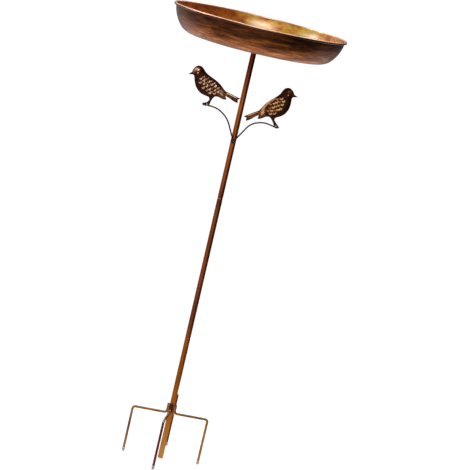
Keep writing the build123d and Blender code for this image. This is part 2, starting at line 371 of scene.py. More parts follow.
def pole_finish():
    """Copper finish on the tubes, whose colour changes up the pole, with a painted shadow of the
    dish darkening its top.
    """
    finish = Finish("pole_copper_finish", Metallic=1.0, Specular_Tint=(0.5, 0.3, 0.2, 1.0))
    z = finish.axes()[2]
    patches = finish.noise(finish.scaled((60.0, 60.0, 9.0)), scale=1.0, detail=5.0, rough=0.6)
    scratches = finish.noise(finish.scaled((900.0, 900.0, 14.0)), scale=1.0, detail=4.0)
    height = finish.math("ADD", z, finish.spread(patches, 0.2, 0.8, -0.02, 0.02, "LINEAR"))
    share = finish.math("DIVIDE", height, POLE_COLOURS_AND_DISH_SHADOW[-1][0])
    colour = finish.ramp(share, [(at / POLE_COLOURS_AND_DISH_SHADOW[-1][0], rgb) for at, rgb in POLE_COLOURS_AND_DISH_SHADOW])
    worn = finish.mix(finish.spread(patches, 0.35, 0.75), (0.40, 0.32, 0.28), (1.35, 1.3, 1.2))
    colour = finish.mix(0.45, colour, worn, "MULTIPLY")
    bright = finish.spread(scratches, 0.60, 0.78)
    colour = finish.mix(finish.math("MULTIPLY", bright, 0.15), colour, (0.8, 0.4, 0.18))
    roughness = finish.spread(patches, 0.3, 0.75, 0.24, 0.44)
    return finish.completed(colour, roughness, scratches, 0.12, 0.0002)


PRONG_TIP = 0.0055  # metres, the height up to which the prongs' tips are worn


def rod_finish(name, dark, light, top, tip=None):
    """Bronze finish on a bent rod, with a painted highlight: what faces up takes the top colour.

    A tip, given as a height, is worn to grey steel below it, under a bright ring.
    """
    finish = Finish(name, Metallic=1.0, Specular_Tint=(0.4, 0.25, 0.16, 1.0))
    z = finish.axes()[2]
    patches = finish.noise(finish.scaled((45.0, 45.0, 20.0)), scale=1.0, detail=5.0, rough=0.62)
    grain = finish.noise(finish.coord, scale=700.0, detail=3.0)
    colour = finish.mix(finish.spread(patches, 0.36, 0.66), dark, light)
    upness = finish.axes(finish.node("NewGeometry").outputs["Normal"])[2]
    # painted highlight: what faces up is lightened to the top colour
    colour = finish.mix(finish.spread(upness, 0.1, 0.8), colour, top)
    roughness = finish.spread(patches, 0.3, 0.7, 0.28, 0.46)
    if tip:
        edge = finish.math("ADD", z, finish.spread(patches, 0.3, 0.7, -0.002, 0.002))
        worn = finish.spread(edge, tip * 1.1, tip * 0.8)
        colour = finish.mix(worn, colour, (0.33, 0.31, 0.30))
        from_ring = finish.math("ABSOLUTE", finish.math("SUBTRACT", edge, tip * 1.3))
        ring = finish.math("SUBTRACT", 1.0, finish.spread(from_ring, 0.0, 0.0018))
        colour = finish.mix(finish.math("MULTIPLY", ring, 0.8), colour, (0.85, 0.66, 0.50))
    return finish.completed(colour, roughness, grain, 0.14, 0.0002)


def bird_finish(name, patina, copper, bright):
    """Dark patina rubbed off the raised feathers, with painted highlights on the head and back, all
    read from an attribute of the mesh.
    """
    finish = Finish(name, Metallic=1.0)
    burnish = finish.node("Attribute", attribute_name="burnish").outputs["Fac"]
    patches = finish.noise(finish.coord, scale=160.0, detail=5.0, rough=0.6)
    grain = finish.noise(finish.coord, scale=900.0, detail=3.0)
    worn = finish.math("ADD", burnish, finish.spread(patches, 0.3, 0.7, -0.2, 0.2, "LINEAR"))
    colour = finish.ramp(worn, [(0.18, patina), (0.48, copper), (0.84, bright)])
    return finish.completed(colour, finish.spread(worn, 0.1, 0.8, 0.5, 0.26), grain, 0.2, 0.0003)


def weld_finish(name, dark, light):
    finish = Finish(name, Metallic=1.0)
    patches = finish.noise(finish.coord, scale=420.0, detail=4.0, rough=0.6)
    grain = finish.noise(finish.coord, scale=1500.0, detail=3.0)
    colour = finish.mix(finish.spread(patches, 0.4, 0.68), dark, light)
    return finish.completed(colour, finish.spread(patches, 0.3, 0.7, 0.5, 0.3), grain, 0.3, 0.0003)


def steel_finish():
    finish = Finish("plated_steel_finish", Metallic=1.0)
    cloud = finish.noise(finish.coord, scale=320.0, detail=5.0, rough=0.6)
    turned = finish.noise(finish.scaled((400.0, 400.0, 5000.0)), scale=1.0, detail=2.0)
    colour = finish.mix(finish.spread(cloud, 0.35, 0.7), (0.48, 0.48, 0.46), (0.72, 0.71, 0.67))
    return finish.completed(colour, finish.spread(cloud, 0.3, 0.7, 0.22, 0.42), turned, 0.1, 0.0002)


def rubber_finish():
    finish = Finish("black_rubber_finish", Metallic=0.0)
    cloud = finish.noise(finish.coord, scale=500.0, detail=5.0, rough=0.6)
    dusty = finish.spread(cloud, 0.35, 0.7)
    colour = finish.mix(dusty, (0.012, 0.012, 0.012), (0.035, 0.034, 0.033))
    return finish.completed(colour, finish.spread(cloud, 0.3, 0.7, 0.62, 0.82), cloud, 0.25, 0.0004)


def floor_finish():
    finish = Finish("floor_white", Roughness=0.9,
                    Emission_Color=(1, 1, 1, 1), Emission_Strength=0.45)
    cloud = finish.noise(finish.coord, scale=3.0, detail=3.0)
    finish.drive("Base Color", finish.mix(cloud, (0.90, 0.90, 0.90), (0.93, 0.93, 0.93)))
    return finish.material


# ---------------------------------------------------------------- mesh helpers

SWELL_STEPS = 12
WELD_VOXEL = 0.28


def closed_object(name, points, faces, materials, finishes=None, burnish=None):
    """An object from points in millimetres, with its doubled points merged.

    The finishes say which material each face takes, and the burnish, rubbed wear together with
    painted highlights, is a value at each point.
    """
    mesh = bpy.data.meshes.new(name)
    mesh.from_pydata([Vector(p) * MM for p in points], [], faces)
    if finishes is not None:
        mesh.polygons.foreach_set("material_index", finishes)
    if burnish is not None:
        attribute = mesh.attributes.new("burnish", "FLOAT", "POINT")
        attribute.data.foreach_set("value", np.asarray(burnish, np.float32))
    shaped = bmesh.new()
    shaped.from_mesh(mesh)
    bmesh.ops.remove_doubles(shaped, verts=shaped.verts, dist=1e-7)
    bmesh.ops.recalc_face_normals(shaped, faces=shaped.faces)
    shaped.to_mesh(mesh)
    shaped.free()
    for material in materials:
        mesh.materials.append(material)
    return added(name, mesh)


def mesh_piece(name, points, faces, material, body, slot, nodes, sharp_deg=40.0, **extras):
    """A closed smooth piece that rides on a body and stands for CAD nodes."""
    materials = material if isinstance(material, list) else [material]
    made = closed_object(name, points, faces, materials, **extras)
    made.data.polygons.foreach_set("use_smooth", [True] * len(made.data.polygons))
    made.data.set_sharp_from_angle(angle=math.radians(sharp_deg))
    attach(made, body)
    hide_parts(*nodes)
    return made


def polar(radius, azimuth_deg, z):
    azimuth = math.radians(azimuth_deg)
    return Vector((radius * math.cos(azimuth), radius * math.sin(azimuth), z))


def rounded(corners, radii, closed=False, step_deg=6.0):
    """The line through some corners, with an arc of the given radius at each."""
    corners = [Vector(c) for c in corners]
    count = len(corners)
    if not hasattr(radii, "__len__"):
        radii = [radii] * count
    line = []
    for index, corner in enumerate(corners):
        if not closed and index in (0, count - 1):
            line.append(corner)
            continue
        back = corners[index - 1] - corner
        ahead = corners[(index + 1) % count] - corner
        turn = math.pi - back.angle(ahead)
        if turn < 0.01 or radii[index] <= 0:
            line.append(corner)
            continue
        reach = min(radii[index] * math.tan(turn / 2), 0.49 * min(back.length, ahead.length))
        radius = reach / math.tan(turn / 2)
        middle = (back.normalized() + ahead.normalized()).normalized()
        centre = corner + middle * (radius / math.cos(turn / 2))
        first = corner + back.normalized() * reach - centre
        last = corner + ahead.normalized() * reach - centre
        steps = max(2, math.ceil(math.degrees(turn) / step_deg))
        for step in range(steps + 1):
            share = step / steps
            arm = first * math.sin((1 - share) * turn) + last * math.sin(share * turn)
            line.append(centre + arm / math.sin(turn))
    return line


def lathe(section, segments, cut=None):
    """Points and faces of a closed (radius, z) section turned about the Z axis.

    A cut takes the turn, radius and z of a point, and gives its new radius.
    """
    section = [Vector((p[0], p[1])) for p in section]
    points, faces = [], []
    for step in range(segments):
        turn = math.tau * step / segments
        for radius, z in section:
            if cut:
                radius = cut(turn, radius, z)
            points.append((radius * math.cos(turn), radius * math.sin(turn), z))
    size = len(section)
    for step in range(segments):
        here, there = step * size, (step + 1) % segments * size
        for index in range(size):
            after = (index + 1) % size
            faces.append((here + index, there + index, there + after, here + after))
    return points, faces


def tube(line, radii, sides=24):
    """Points and faces of a rod along a line, with its ends closed."""
    line = [Vector(p) for p in line]
    ahead = [(b - a).normalized() for a, b in zip(line, line[1:])]
    tangents = [ahead[0]] + [(a + b).normalized() for a, b in zip(ahead, ahead[1:])] + [ahead[-1]]
    side = tangents[0].orthogonal().normalized()
    points, faces = [], []
    for index, (place, tangent) in enumerate(zip(line, tangents)):
        if index:
            side = tangents[index - 1].rotation_difference(tangent) @ side
        side = (side - tangent * side.dot(tangent)).normalized()
        other = tangent.cross(side)
        for step in range(sides):
            turn = math.tau * step / sides
            points.append(place + (side * math.cos(turn) + other * math.sin(turn)) * radii[index])
    for index in range(len(line) - 1):
        for step in range(sides):
            a, b = index * sides + step, index * sides + (step + 1) % sides
            faces.append((a, b, b + sides, a + sides))
    last = (len(line) - 1) * sides
    faces.append(tuple(range(sides))[::-1])
    faces.append(tuple(range(last, last + sides)))
    return points, faces


def rod_with_ends(line, radius, round_start, round_end, swell=0.0, swell_length=0.0):
    """A rod's line and radii with rounded ends, and a swelling towards its last end."""
    line = [Vector(p) for p in line]
    start_way = (line[1] - line[0]).normalized()
    end_way = (line[-1] - line[-2]).normalized()
    turns = [math.radians(a) for a in (0, 15, 30, 45, 60, 75, 90)]
    places = [line[0] + start_way * round_start * (1 - math.cos(turn)) for turn in turns]
    radii = [radius - round_start * (1 - math.sin(turn)) for turn in turns]
    for place in line[1:-1]:
        places.append(place)
        radii.append(radius)
    if swell_length:
        for step in range(SWELL_STEPS):
            share = 1 - step / SWELL_STEPS
            places.append(line[-1] - end_way * (swell_length * share + round_end))
            radii.append(radius + swell * (0.5 + 0.5 * math.cos(math.pi * share)))
    for turn in reversed(turns):
        places.append(line[-1] - end_way * round_end * (1 - math.cos(turn)))
        radii.append(radius + swell - round_end * (1 - math.sin(turn)))
    return places, radii


def weld(name, centres, radius, body, node, material, lumpiness, seed):
    """Overlapping drops melted into one bead. Its lumps are as high as the lumpiness."""
    drops = bmesh.new()
    for centre in centres:
        bmesh.ops.create_icosphere(drops, subdivisions=3, radius=radius * MM,
                                   matrix=Matrix.Translation(Vector(centre) * MM))
    rough = bpy.data.meshes.new(name + "_drops")
    drops.to_mesh(rough)
    drops.free()
    holder = added(name + "_drops", rough)
    remesh = holder.modifiers.new("melt", "REMESH")
    remesh.mode = "VOXEL"
    remesh.voxel_size = WELD_VOXEL * MM
    smooth = holder.modifiers.new("smooth", "SMOOTH")
    smooth.iterations = 4
    bpy.context.view_layer.update()
    melted = holder.evaluated_get(bpy.context.evaluated_depsgraph_get()).to_mesh()
    points = []
    for vertex in melted.vertices:
        lump = noise.noise(vertex.co * 900.0 + Vector((seed, 0, 0)))
        points.append((vertex.co + vertex.normal * lump * lumpiness * MM) / MM)
    faces = [tuple(f.vertices) for f in melted.polygons]
    bpy.data.objects.remove(holder)
    bpy.data.meshes.remove(rough)
    mesh_piece(name, points, faces, material, body, "weld_metal", [node], sharp_deg=80.0)


# ---------------------------------------------------------------- pole

TUBE_R = 5.5
BORE_R = 4.5
PLUG_R = 4.44
PLUG_LENGTH = 38.0
TAPER = 2.6
TUBE_SIDES = 64


def tube_section(low, joint=None, high=None):
    """A tube's section. With a joint it is drawn down above it, to plug into the next tube."""
    outer = [(TUBE_R - 0.25, low), (TUBE_R, low + 0.25)]
    inner = [(BORE_R, low + 0.25), (BORE_R + 0.25, low)]
    if joint is None:
        top = [(TUBE_R, high - 0.2), (TUBE_R - 0.2, high), (BORE_R, high)]
        return outer + top + inner
    shoulder = joint - TAPER
    neck = []
    for step in range(9):
        share = step / 8
        ease = share * share * (3 - 2 * share)
        neck.append((TUBE_R + (PLUG_R - TUBE_R) * ease, shoulder + TAPER * share))
    tip = joint + PLUG_LENGTH
    plug = [(PLUG_R, joint + 0.4), (PLUG_R, tip - 0.4), (PLUG_R - 0.3, tip)]
    bore = [(PLUG_R - 1.0, tip), (PLUG_R - 1.0, joint + 0.2), (BORE_R, shoulder - 0.4)]
    return outer + [(TUBE_R, shoulder - 0.5)] + neck + plug + bore + inner


def make_pole(material):
    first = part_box("pole_middle")[0].z / MM
    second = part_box("pole_top")[0].z / MM
    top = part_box("pole_top")[1].z / MM
    rows = [
        ("stake_tube", "pole_bottom", "stake", tube_section(0.0, joint=first)),
        ("middle_tube", "pole_middle", "middle_section", tube_section(first, joint=second)),
        ("upper_tube", "pole_top", "top_section", tube_section(second, high=top)),
    ]
    for name, node, body, section in rows:
        points, faces = lathe(section, TUBE_SIDES)
        mesh_piece(name, points, faces, material, body, "pole_copper", [node])
    return top


# ---------------------------------------------------------------- dish and its fixing

SHEET = 0.8
FLOOR_BEND_R = 31.6
FLOOR_BEND_DEG = 48.0
WALL_R = 69.6
WALL_TOP_DEG = 85.0
CURL_R = 2.1
CURL_DEG = 262.0
HOLE_R = 3.25
CURL_STEPS = 22
RIM_STEPS = 13  # how many of the curl's steps are rubbed bright
DISH_SEGMENTS = 288
DISH_TILT_DEG = 0.4  # the dish leans a little to the right on its pad


def arc(centre, radius, start_deg, sweep_deg, steps):
    points = []
    for step in range(steps + 1):
        turn = math.radians(start_deg + sweep_deg * step / steps)
        points.append((centre[0] + radius * math.cos(turn), centre[1] + radius * math.sin(turn)))
    return points


def dish_line(offset, low_z, outer_r):
    """One face of the sheet, from the centre hole to the curl's end."""
    bend, top = math.radians(FLOOR_BEND_DEG), math.radians(WALL_TOP_DEG)
    wide = FLOOR_BEND_R * math.sin(bend) + WALL_R * (math.sin(top) - math.sin(bend))
    floor_r = outer_r - wide - CURL_R * (1 + math.sin(top)) - SHEET / 2
    z = low_z + SHEET / 2
    bend_at = (floor_r, z + FLOOR_BEND_R)
    drop = WALL_R - FLOOR_BEND_R
    wall_at = (bend_at[0] - drop * math.sin(bend), bend_at[1] + drop * math.cos(bend))
    curl_reach = WALL_R + CURL_R
    curl_at = (wall_at[0] + curl_reach * math.sin(top), wall_at[1] - curl_reach * math.cos(top))
    line = [(HOLE_R, z + offset), (30.0, z + offset), (80.0, z + offset)]
    line += arc(bend_at, FLOOR_BEND_R - offset, -90, FLOOR_BEND_DEG, 14)
    wall_sweep = WALL_TOP_DEG - FLOOR_BEND_DEG
    line += arc(wall_at, WALL_R - offset, FLOOR_BEND_DEG - 90, wall_sweep, 14)[1:]
    line += arc(curl_at, CURL_R + offset, WALL_TOP_DEG + 90, -CURL_DEG, CURL_STEPS)[1:]
    return line


def make_dish(inside_finish, outside_finish, rim_finish):
    """The sheet's two faces meet at the centre hole and at the curl's end."""
    low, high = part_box("dish")
    inner, outer = (dish_line(half, low.z / MM, high.x / MM) for half in (SHEET / 2, -SHEET / 2))
    points, faces = lathe(inner + outer[::-1], DISH_SEGMENTS)
    curl_start = len(inner) - CURL_STEPS - 1
    rim_end = curl_start + RIM_STEPS
    round_the_sheet = [0] * curl_start + [2] * RIM_STEPS + [1] * (len(inner + outer) - rim_end)
    centre = Vector((0.0, 0.0, low.z / MM))
    tilt = Matrix.Rotation(math.radians(DISH_TILT_DEG), 3, "Y")
    points = [tilt @ (Vector(point) - centre) + centre for point in points]
    mesh_piece("dish_shell", points, faces, [inside_finish, outside_finish, rim_finish],
               "dish_section", "dish_copper", ["dish"], finishes=round_the_sheet * DISH_SEGMENTS)


SCREW_R = 3.0
BUSH_BORE_R = 3.48
THREAD_DEPTH = 0.42
THREAD_PITCH = 1.0
SLOT_CUT = (0.03, 0.0016, 0.0032)  # metres
PLATE_BEAD_R = 6.3
PLATE_BEAD_DROPS = 22


def thread(crest):
    """A cut for lathe() that makes a thread of the points lying on the crest's cylinder."""
    def cut(turn, radius, z):
        if abs(radius - crest) > 0.01:
            return radius
        wave = abs(((z / THREAD_PITCH - turn / math.tau) % 1.0) * 2 - 1)
        return radius - THREAD_DEPTH * (1 - wave)

    return cut


def ring_piece(name, node, body, material, slot, corner_r, step_deg=18, segments=72):
    """A ring round the screw's hole, as wide and as high as its CAD node."""
    low, high = (corner.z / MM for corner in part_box(node))
    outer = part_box(node)[1].x / MM
    corners = [(HOLE_R, low, 0), (outer, low, 0), (outer, high, 0), (HOLE_R, high, 0)]
    section = rounded(corners, corner_r, closed=True, step_deg=step_deg)
    points, faces = lathe(section, segments)
    mesh_piece(name, points, faces, material, body, slot, [node])


def make_fixing(tube_top, weld_material, steel, rubber, copper):
    ring_piece("support_disc", "support_plate", "top_section", copper, "pole_copper", 0.4, 30, 96)
    bead = []
    for step in range(PLATE_BEAD_DROPS):
        around = 360 * step / PLATE_BEAD_DROPS
        bead.append(polar(PLATE_BEAD_R, around, tube_top - 1.0 - 0.3 * (step % 2)))
    weld("plate_bead", bead, 1.35, "top_section", "plate_weld", weld_material, 0.25, 3.0)
    ring_piece("dish_pad", "rubber_pad", "top_section", rubber, "black_rubber", 0.3)
    ring_piece("seal_disc", "rubber_seal", "washers", rubber, "black_rubber", 0.5)
    ring_piece("flat_washer", "washer", "washers", steel, "plated_steel", 0.3)
    make_bush(steel)
    make_screw(steel)


def make_bush(steel):
    low, high = (corner.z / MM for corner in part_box("threaded_insert"))
    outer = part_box("threaded_insert")[1].x / MM
    length = high - low
    steps = int(length * 6)
    bore = [high - length * (step + 1) / (steps + 1) for step in range(1, steps)]
    section = [(outer - 0.2, low), (outer, low + 0.2), (outer, high - 0.2), (outer - 0.2, high)]
    section += [(BUSH_BORE_R, z) for z in (high, *bore, low)]
    points, faces = lathe(section, 40, thread(BUSH_BORE_R))
    mesh_piece("threaded_bush", points, faces, steel, "top_section", "plated_steel",
               ["threaded_insert"], sharp_deg=30)


def make_screw(steel):
    point, top = (corner.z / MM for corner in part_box("dish_screw"))
    head_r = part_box("dish_screw")[1].x / MM
    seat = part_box("washer")[1].z / MM
    steps = int((seat - 1.0 - point) * 8)
    first, last = point + 0.9, seat - 1.0
    shank = [(SCREW_R, first + (last - first) * step / steps) for step in range(steps + 1)]
    head = rounded([(2.6, seat, 0), (head_r, seat, 0), (head_r, seat + 1.5, 0),
                    (0.78 * head_r, top - 0.35, 0), (0.35 * head_r, top, 0), (0.0, top, 0)],
                   [0, 0.25, 1.4, 2.0, 3.0, 0], step_deg=12)
    section = [(0.0, point), (2.1, point), (2.5, point + 0.5), *shank, (2.6, seat - 0.7), *head]
    points, faces = lathe(section, 48, thread(SCREW_R))
    screw = mesh_piece("slotted_screw", points, faces, steel, "screw", "plated_steel",
                       ["dish_screw"], sharp_deg=32)
    cutter = bmesh.new()
    place = Matrix.Translation((0, 0, top * MM)) @ Matrix.Diagonal((*SLOT_CUT, 1.0))
    bmesh.ops.create_cube(cutter, size=1.0, matrix=place)
    slot_mesh = bpy.data.meshes.new("slot_cut")
    cutter.to_mesh(slot_mesh)
    cutter.free()
    tool = added("slot_cut", slot_mesh)
    cut = screw.modifiers.new("slot", "BOOLEAN")
    cut.operation = "DIFFERENCE"
    cut.solver = "EXACT"
    cut.object = tool
    bpy.context.view_layer.update()
    slotted = screw.evaluated_get(bpy.context.evaluated_depsgraph_get())
    shaped = bpy.data.meshes.new_from_object(slotted)
    screw.modifiers.clear()
    screw.data = shaped
    bpy.data.objects.remove(tool)


# ---------------------------------------------------------------- prongs

PRONG_R = 2.5
PRONG_BEND_R = 6.0
PRONG_ROOT = TUBE_R + PRONG_R
PRONG_REACH = 79.5
PRONG_AZIMUTH = {"right": 7.0, "back": 85.5, "left": 187.0, "front": 263.0}
PRONG_ENDS = {"round_start": 0.6, "round_end": 2.1, "swell": 0.3, "swell_length": 8.8}
BEAD_REACH = 6.4
BEAD_PITCH = 1.9
BEAD_DEG = 22.0
BEAD_SWAY_DEG = 3.0
BEAD_R = 1.45


def arm_height(side):
    """The arm's middle height: the CAD rod's highest point beyond its short tail."""
    beyond = 2 * PRONG_ROOT * MM
    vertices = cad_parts["prong_" + side].data.vertices
    return max(v.co.z for v in vertices if v.co.xy.length > beyond) / MM - PRONG_R


def make_prongs(materials, weld_materials):
    for index, (side, azimuth) in enumerate(PRONG_AZIMUTH.items()):
        node = "prong_" + side
        arm = arm_height(side)
        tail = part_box(node)[1].z / MM
        corners = [
            polar(PRONG_ROOT, azimuth, tail),
            polar(PRONG_ROOT, azimuth, arm),
            polar(PRONG_REACH, azimuth, arm),
            polar(PRONG_REACH, azimuth, 0.0),
        ]
        line = rounded(corners, [0, PRONG_BEND_R, PRONG_BEND_R, 0], step_deg=5)
        points, faces = tube(*rod_with_ends(line, PRONG_R, **PRONG_ENDS), 28)
        mesh_piece("prong_rod_" + side, points, faces, materials[side], "stake", "prong_bronze",
                   [node])
        count = int((tail - arm) / BEAD_PITCH) + 1
        for half, ending in ((-1, "_a"), (1, "_b")):
            drops = []
            for step in range(count):
                around = azimuth + half * (BEAD_DEG + BEAD_SWAY_DEG * (step % 2))
                drops.append(polar(BEAD_REACH, around, arm - 1.0 + BEAD_PITCH * step))
            weld("prong_bead_" + side + ending, drops, BEAD_R, "stake", "prong_weld_" + side,
                 weld_materials[side], 0.3, 7.0 * index + half)


# ---------------------------------------------------------------- branch

WIRE_R = 1.5
WIRE_Y = -(TUBE_R + WIRE_R)
FORK_Z = 684.5
BRANCH_ROUTE = [
    # x, z and the bend's radius
    (-76.5, 743.2, 0),
    (-48.5, 744.2, 60.0),
    (-22.8, 729.0, 60.0),
    (0.0, FORK_Z, 2.6),
    (25.5, 727.0, 34.0),
    (50.0, 736.6, 70.0),
    (80.0, 730.6, 0),
]


def make_branch(wire_material, weld_material):
    corners = [(x, WIRE_Y, z) for x, z, _ in BRANCH_ROUTE]
    line = rounded(corners, [bend for _, _, bend in BRANCH_ROUTE], step_deg=3)
    points, faces = tube(*rod_with_ends(line, WIRE_R, 0.5, 0.5), 20)
    mesh_piece("branch_rod", points, faces, wire_material, "top_section", "wire_bronze",
               ["branch_wire"])
    drops = [
        (-4.2, -5.0, FORK_Z + 2.5),
        (-3.4, -5.6, FORK_Z - 0.2),
        (-1.6, -6.3, FORK_Z - 2.2),
        (0.6, -6.5, FORK_Z - 2.9),
        (2.6, -5.9, FORK_Z - 1.4),
        (3.8, -5.2, FORK_Z + 1.4),
    ]
    weld("fork_bead", drops, 1.8, "top_section", "branch_weld", weld_material, 0.4, 11.0)


# ---------------------------------------------------------------- birds

BIRD_SHEET = 1.6
CREST = [
    # the back, from the beak over the head to the tail, as (forward, up) from the heel
    (46.2, 57.2), (46.0, 60.4), (44.4, 65.0), (41.6, 69.2), (38.0, 71.7), (33.0, 72.5),
    (28.3, 71.1), (24.8, 68.2), (21.2, 64.3), (17.0, 60.8), (11.6, 57.8), (5.0, 55.0),
    (-2.0, 52.0), (-8.2, 49.0), (-13.6, 45.6), (-18.4, 41.6), (-22.9, 37.6), (-27.0, 34.2),
]
TAIL = [
    (-32.1, 33.1), (-37.8, 31.8), (-43.6, 30.4), (-50.2, 28.7), (-55.0, 27.4), (-59.0, 26.6),
    (-56.6, 24.8), (-53.8, 23.2), (-55.0, 20.0), (-55.7, 16.8), (-50.6, 17.4), (-44.6, 19.3),
    (-38.5, 22.1), (-31.7, 24.4), (-28.4, 24.9), (-30.2, 22.2), (-32.3, 18.8), (-28.7, 17.3),
]
BELLY = [
    (-23.0, 18.0), (-17.1, 19.9), (-11.6, 20.3), (-7.6, 18.9), (-4.6, 13.0), (-2.9, 8.7),
    (-1.4, 0.0),
]
FOOT = [(0.0, -0.3), (7.0, -0.1), (13.8, 0.0), (13.6, 0.9), (9.5, 2.9), (5.2, 4.6)]
CHEST = [
    (2.4, 7.6), (1.0, 12.0), (2.9, 15.6), (7.0, 16.3), (13.0, 17.2), (19.6, 19.0), (24.8, 22.0),
    (29.6, 26.4), (33.8, 31.6), (36.5, 37.4), (38.7, 43.6), (40.0, 48.8), (41.4, 51.2),
    (43.4, 52.3), (48.2, 51.8), (53.0, 51.0),
]
SHARP = {(-59.0, 26.6), (-53.8, 23.2), (-55.7, 16.8), (-28.4, 24.9), (-32.3, 18.8), (-1.4, 0.0),
         (53.0, 51.0), (46.2, 57.2), (43.4, 52.3)}
# places are (forward, up) from the heel, and turns go from forward towards up
EYE = np.array((34.6, 58.0))
HEAD = (34.5, 59.0)
WING = np.array((8.0, 41.0))
WING_DEG = 30.0
TAIL_MIDDLE = np.array((-43.0, 25.9))
TAIL_DEG = 13.0
TAIL_RIDGE = 4.8
ROW_GAP = 6.6
FEATHER_GAP = 6.4
GRID = 0.7
BIRDS = {
    # heel, which way along X it faces, tilt in degrees, its own shape, and how strong the painted
    # highlight on its head and the painted reflection on its back are
    "left": (Vector((-64.2, WIRE_Y, 744.8)), -1, 0.0, {
        "foot_deg": 0.0, "foot_share": 1.0, "row_deg": -38.0,
        "painted_head_highlight": 1.0, "painted_back_reflection": 0.0}),
    "right": (Vector((73.2, WIRE_Y, 734.0)), 1, 20.0, {
        "foot_deg": -38.0, "foot_share": 0.78, "row_deg": 4.0,
        "painted_head_highlight": 0.42, "painted_back_reflection": 0.8}),
}


def way_at(turn_deg):
    """The direction at a turn from forward towards up."""
    return np.array((math.cos(math.radians(turn_deg)), math.sin(math.radians(turn_deg))))


def soft_spot(places, middle, size):
    """1 in the middle, fading to 0 over the size, which is (along, up)."""
    return np.exp(-(((places - np.array(middle)) / np.array(size)) ** 2).sum(axis=1))


def smooth_ring(ring, sharp, rounds=2):
    """Cuts the corners of a closed outline, and keeps the sharp ones."""
    marks = [(Vector(p), p in sharp) for p in ring]
    for _ in range(rounds):
        cut = []
        for index, (place, is_sharp) in enumerate(marks):
            before, after = marks[index - 1][0], marks[(index + 1) % len(marks)][0]
            if is_sharp:
                cut.append((place, True))
            else:
                cut.append((place.lerp(before, 0.25), False))
                cut.append((place.lerp(after, 0.25), False))
        marks = cut
    return [place for place, _ in marks]


def bird_ring(foot_deg, foot_share):
    turn = math.radians(foot_deg)
    foot = [(x * foot_share, y) for x, y in FOOT]
    cos, sin = math.cos(turn), math.sin(turn)
    foot = [(x * cos - y * sin, x * sin + y * cos) for x, y in foot]
    sharp = SHARP | {foot[2], foot[3], foot[0]}
    return smooth_ring(CREST + TAIL + BELLY + foot + CHEST, sharp)


def edge_distance(places, ring):
    """How far each place is from the outline."""
    starts = np.array([tuple(p) for p in ring])
    ends = np.roll(starts, -1, axis=0)
    along = ends - starts
    nearest = np.full(len(places), 1e9)
    for start, step in zip(starts, along):
        share = np.clip(((places - start) @ step) / max(step @ step, 1e-9), 0, 1)
        gap = np.linalg.norm(places - start - share[:, None] * step, axis=1)
        nearest = np.minimum(nearest, gap)
    return nearest


def inside(places, ring):
    xs, ys = places[:, 0], places[:, 1]
    odd = np.zeros(len(places), bool)
    for index, end in enumerate(ring):
        start = ring[index - 1]
        crosses = (start.y > ys) != (end.y > ys)
        if end.y != start.y:
            cut = (end.x - start.x) * (ys - start.y) / (end.y - start.y) + start.x
            odd ^= crosses & (xs < cut)
    return odd


def eased(value, low, high):
    share = np.clip((value - low) / (high - low), 0, 1)
    return share * share * (3 - 2 * share)


def feathers_of(row_deg):
    """Feathers as (middle, way to the tip, half length, half width, lift), hind ones first."""
    back = -way_at(WING_DEG)
    below = np.array((back[1], -back[0]))
    row_way = way_at(row_deg)
    tip_way = np.array((row_way[1], -row_way[0]))
    quills, rows = [], []
    for step in range(3):
        middle = np.array((-17.0, 33.5)) + below * (4.4 * step - 2.6) - back * (2.5 * step)
        quills.append((middle, back, 12.0, 2.1, 0.9))
    for row in range(3, -4, -1):
        for step in range(-5, 6):
            uneven = math.sin(12.9 * row + 4.7 * step)
            along_row = FEATHER_GAP * (step + 0.5 * (row % 2)) + 0.9 * uneven
            down_wing = ROW_GAP * row + 0.9 * math.sin(5.3 * step + row)
            offset = tip_way * down_wing + row_way * along_row
            if (offset @ back / 22.0) ** 2 + (offset @ below / 12.5) ** 2 < 1:
                turn = 0.22 * uneven
                way = math.cos(turn) * tip_way + math.sin(turn) * row_way
                rows.append((WING + offset, way, 5.4, 3.9 + 0.5 * uneven, 1.3))
    return quills + rows


def feathered(places, row_deg):
    """Height of the wing's feathers, and how far their tips are rubbed bright."""
    height = np.zeros(len(places))
    shine = np.zeros(len(places))
    for index, (middle, way, half_length, half_width, lift) in enumerate(feathers_of(row_deg)):
        along = (places - middle) @ way / half_length
        across = (places - middle) @ np.array((-way[1], way[0])) / half_width
        reach = 1 - np.maximum(along, 0) ** 2.2 - across**2
        on = (reach > 0) & (along > -1.1)
        blade = lift * (0.35 + 0.65 * eased(along, -1.0, 0.6)) * np.clip(reach * 2.5, 0, 1) ** 0.5
        barb = 0.10 * np.cos(across * 9.0 + along * 5.0)
        height = np.where(on, blade + barb * (reach > 0.3), height)
        curved = along + 0.3 * across**2
        worn = 0.80 + 0.40 * math.sin(index * 2.4)
        glow = worn * eased(curved, 0.1, 0.35) * eased(curved, 0.95, 0.7)
        shine = np.where(on, glow, shine)
    return height, shine


